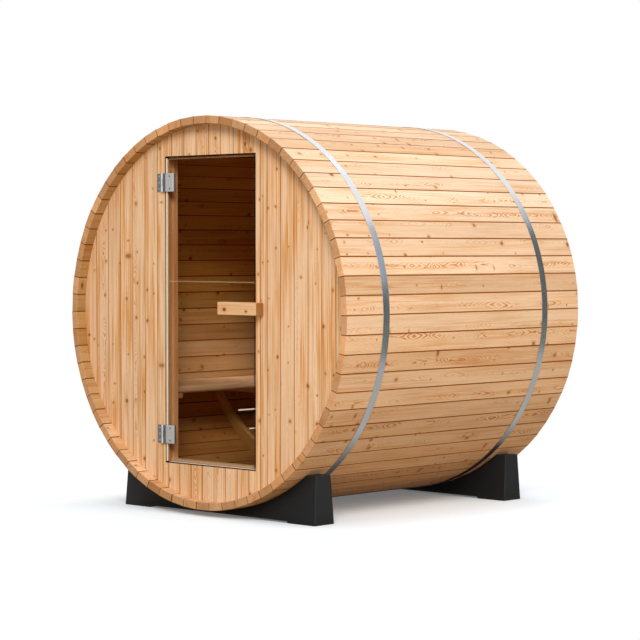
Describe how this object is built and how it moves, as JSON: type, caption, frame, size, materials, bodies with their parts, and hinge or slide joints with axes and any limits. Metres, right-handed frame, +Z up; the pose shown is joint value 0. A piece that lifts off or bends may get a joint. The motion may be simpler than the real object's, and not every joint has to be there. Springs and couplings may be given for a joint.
{
  "type": "barrel sauna",
  "caption": "Outdoor barrel sauna: a ring of wooden staves held by steel hoops, plank end walls, a hinged tinted glass door with a wooden handle, an inside bench and black cradles.",
  "frame": {"origin": "on the ground under the middle of the barrel", "axes": "+Z up, -Y towards the front with the door, +X to the right as seen from the front"},
  "size_m": [2.0034, 1.84, 2.0337],
  "materials": {
    "stave_wood": "planed, oiled softwood",
    "wall_wood": "planed, oiled softwood boards",
    "frame_wood": "planed softwood",
    "bench_wood": "planed, untreated softwood",
    "handle_wood": "sanded softwood",
    "bronze_glass": "clear bronze tint, polished",
    "pale_seal": "translucent satin",
    "hinge_steel": "brushed stainless steel",
    "hoop_steel": "rolled stainless steel band",
    "cradle_black": "matt, fine moulded grain"
  },
  "bodies": {
    "barrel": {"staves_upper_right": "stave_wood", "staves_top": "stave_wood", "staves_upper_left": "stave_wood", "staves_lower_left": "stave_wood", "staves_bottom": "stave_wood", "staves_lower_right": "stave_wood", "front_wall_left": "wall_wood", "front_wall_right": "wall_wood", "front_wall_over_door": "wall_wood", "front_wall_under_door": "wall_wood", "rear_wall": "wall_wood", "door_post_left": "frame_wood", "door_post_right": "frame_wood", "door_head": "frame_wood", "door_sill": "frame_wood", "upper_hinge_leaf": "hinge_steel", "lower_hinge_leaf": "hinge_steel", "front_hoop": "hoop_steel", "rear_hoop": "hoop_steel", "front_cradle": "cradle_black", "rear_cradle": "cradle_black", "bench_seat": "bench_wood", "bench_battens": "bench_wood", "bench_rib": "bench_wood"},
    "door": {"door_glass": "bronze_glass", "door_edge_seal": "pale_seal", "door_handle": "handle_wood", "upper_hinge_clamp": "hinge_steel", "lower_hinge_clamp": "hinge_steel"}
  },
  "joints": [
    {"name": "door_hinge", "type": "hinge", "parent": "barrel", "child": "door", "pos_m": [-0.342, -0.87, 1.05], "axis": [0, 0, -1], "range_deg": [0, 110]}
  ]
}
